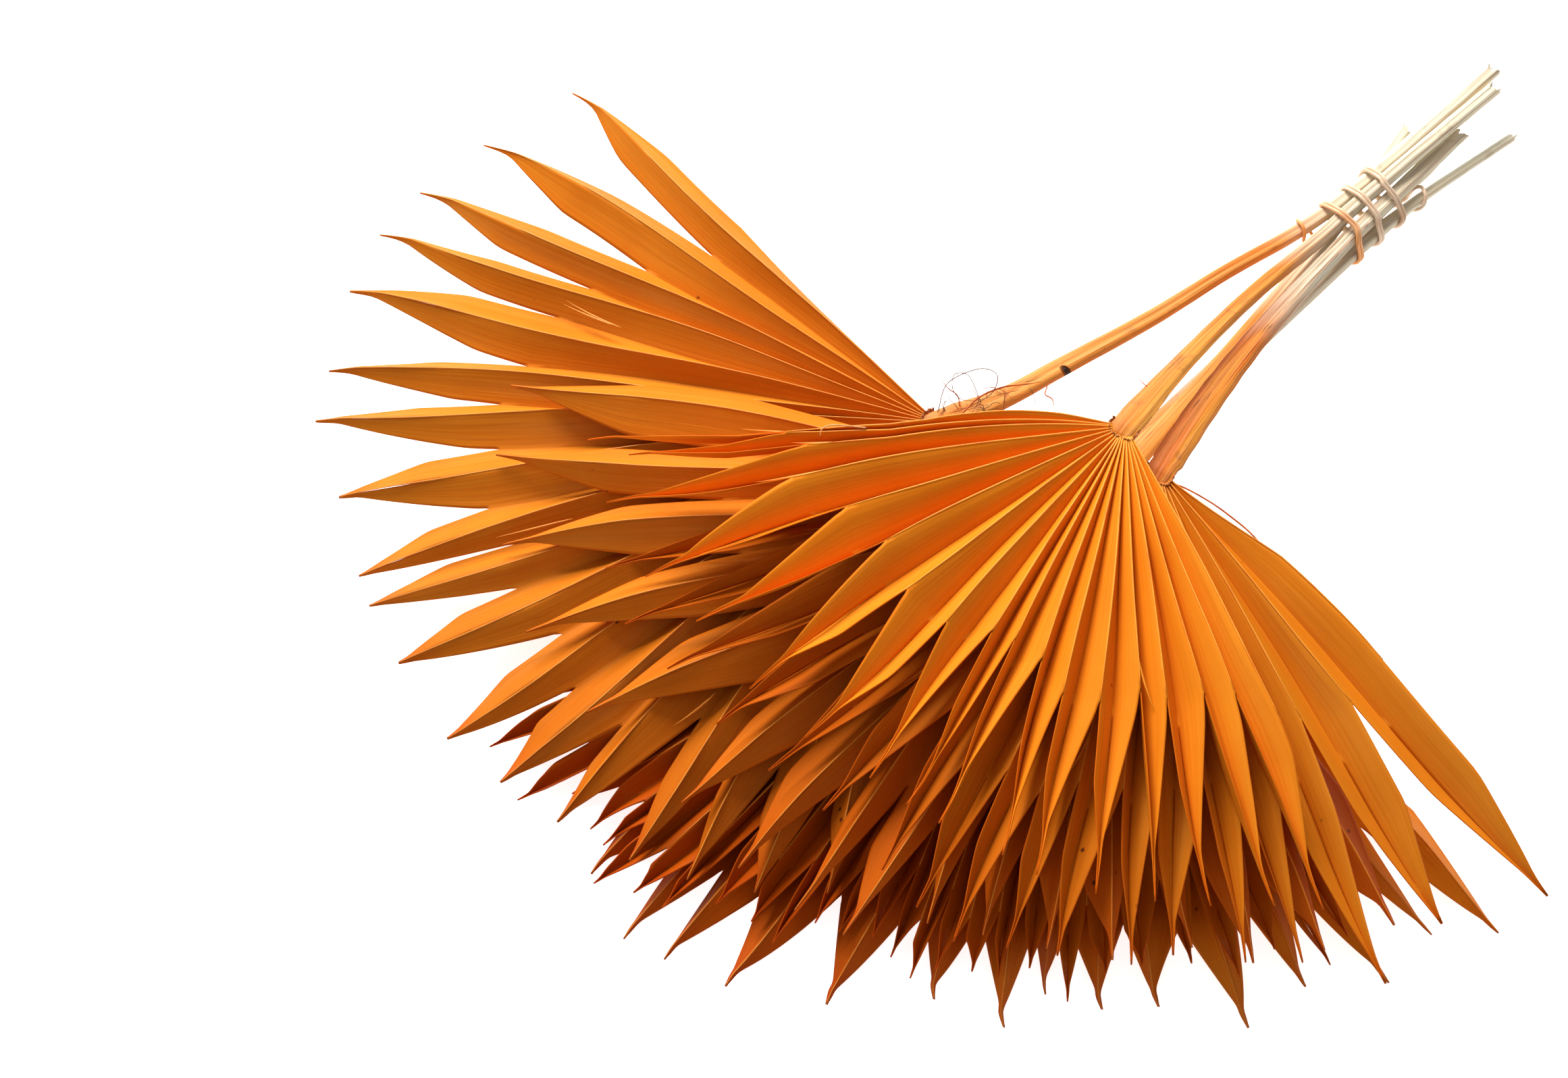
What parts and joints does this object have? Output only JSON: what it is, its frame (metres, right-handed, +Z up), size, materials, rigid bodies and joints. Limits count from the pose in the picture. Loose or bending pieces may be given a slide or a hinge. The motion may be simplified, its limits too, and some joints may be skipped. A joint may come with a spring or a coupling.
{
  "type": "dried palm leaf bunch",
  "caption": "Bunch of trimmed, pleated fan palm leaves dyed orange, fanned out over each other, with bare stalks held together by a twisted rubber band.",
  "frame": {"origin": "centre of the bunch's bounding box on the surface that it lies on", "axes": "+Z up; +Y along the stalks towards their cut ends; +X across the fans, towards the single long leaf on the right"},
  "size_m": [0.5628, 0.549, 0.0722],
  "materials": {
    "dyed_leaf": "dried leaf dyed orange, matte with a faint satin sheen along the veins, fading to straw on the stalks",
    "band_rubber": "natural tan rubber stained with orange dye, matte"
  },
  "bodies": {
    "root": {"leaf_front": "dyed_leaf", "leaf_right": "dyed_leaf", "leaf_middle": "dyed_leaf", "leaf_left": "dyed_leaf", "leaf_low": "dyed_leaf", "leaf_under": "dyed_leaf", "rubber_band": "band_rubber"}
  },
  "joints": []
}
